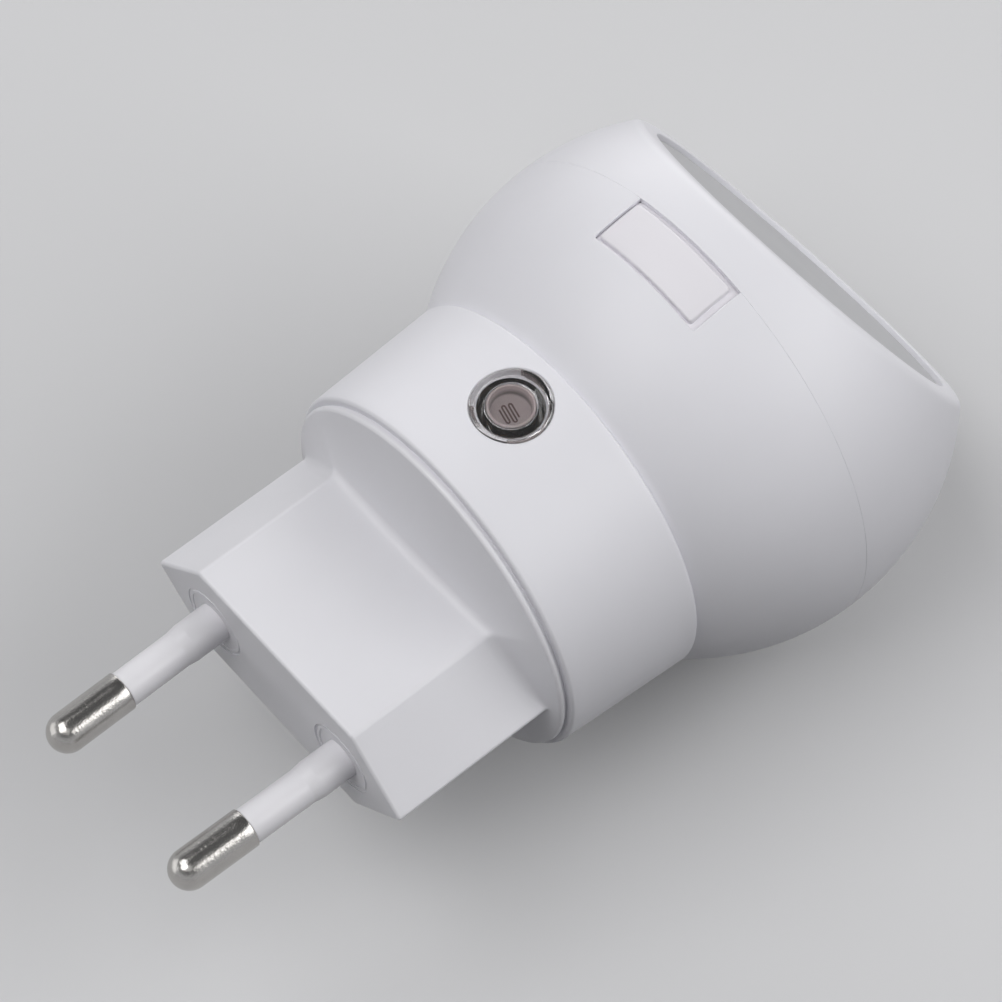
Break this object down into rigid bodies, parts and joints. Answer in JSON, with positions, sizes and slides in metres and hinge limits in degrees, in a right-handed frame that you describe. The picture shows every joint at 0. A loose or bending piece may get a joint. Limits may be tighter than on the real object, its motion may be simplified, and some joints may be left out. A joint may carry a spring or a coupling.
{
  "type": "plug-in night light",
  "caption": "Plug-in night light: flat two-pin plug, conical collar with a light sensor, ball-shaped head with a tilted round lens and a push button.",
  "frame": {"origin": "centre of the plug's engagement face, midway between the two pins", "axes": "+Y along the pins into the wall, +Z to the side with the light sensor and the button, X across the two pins; the light face looks to -Y and 31 degrees up to +Z"},
  "size_m": [0.0524, 0.0944, 0.0524],
  "materials": {
    "shell": "white, satin moulded",
    "plug": "white, satin moulded",
    "button": "white, satin moulded",
    "sleeve": "white, smooth",
    "pin_metal": "nickel plated, finely drawn along its length",
    "lens": "milky, frosted",
    "window": "clear plastic, polished",
    "cell": "resin-coated ceramic",
    "cell_track": "printed track",
    "board": "green solder resist",
    "led_board": "white solder resist",
    "led": "white case, yellow window",
    "brass": "rolled brass",
    "wire": "tinned wire",
    "switch": "black moulding",
    "film": "yellow box",
    "can": "sleeved can",
    "chip": "black epoxy",
    "resistor": "lacquered"
  },
  "bodies": {
    "housing": {"plug_insert": "plug", "pin_left": "pin_metal", "pin_right": "pin_metal", "sleeve_left": "sleeve", "sleeve_right": "sleeve", "contact_strip_left": "brass", "contact_strip_right": "brass", "rear_shell": "shell", "front_bezel": "shell", "diffuser_lens": "lens", "switch_body": "switch", "button_spring": "wire", "sensor_window": "window", "photocell": "cell", "photocell_track": "cell_track", "photocell_leads": "wire", "driver_board": "board", "film_capacitor": "film", "electrolytic_capacitor": "can", "rectifier": "chip", "resistor_1": "resistor", "resistor_2": "resistor", "transistor": "chip", "led_board": "led_board", "reflector": "sleeve", "link_wire_left": "wire", "link_wire_right": "wire", "led_1": "led", "led_2": "led", "led_3": "led", "led_4": "led", "led_5": "led", "led_6": "led"},
    "button": {"switch_button": "button", "switch_plunger": "switch"}
  },
  "joints": [
    {"name": "button_press", "type": "slide", "parent": "housing", "child": "button", "axis": [0, 0, -1], "range_m": [0, 0.0009], "stiffness_N_per_m": 1000, "springref_m": -0.001, "deforming": ["button_spring"]}
  ]
}
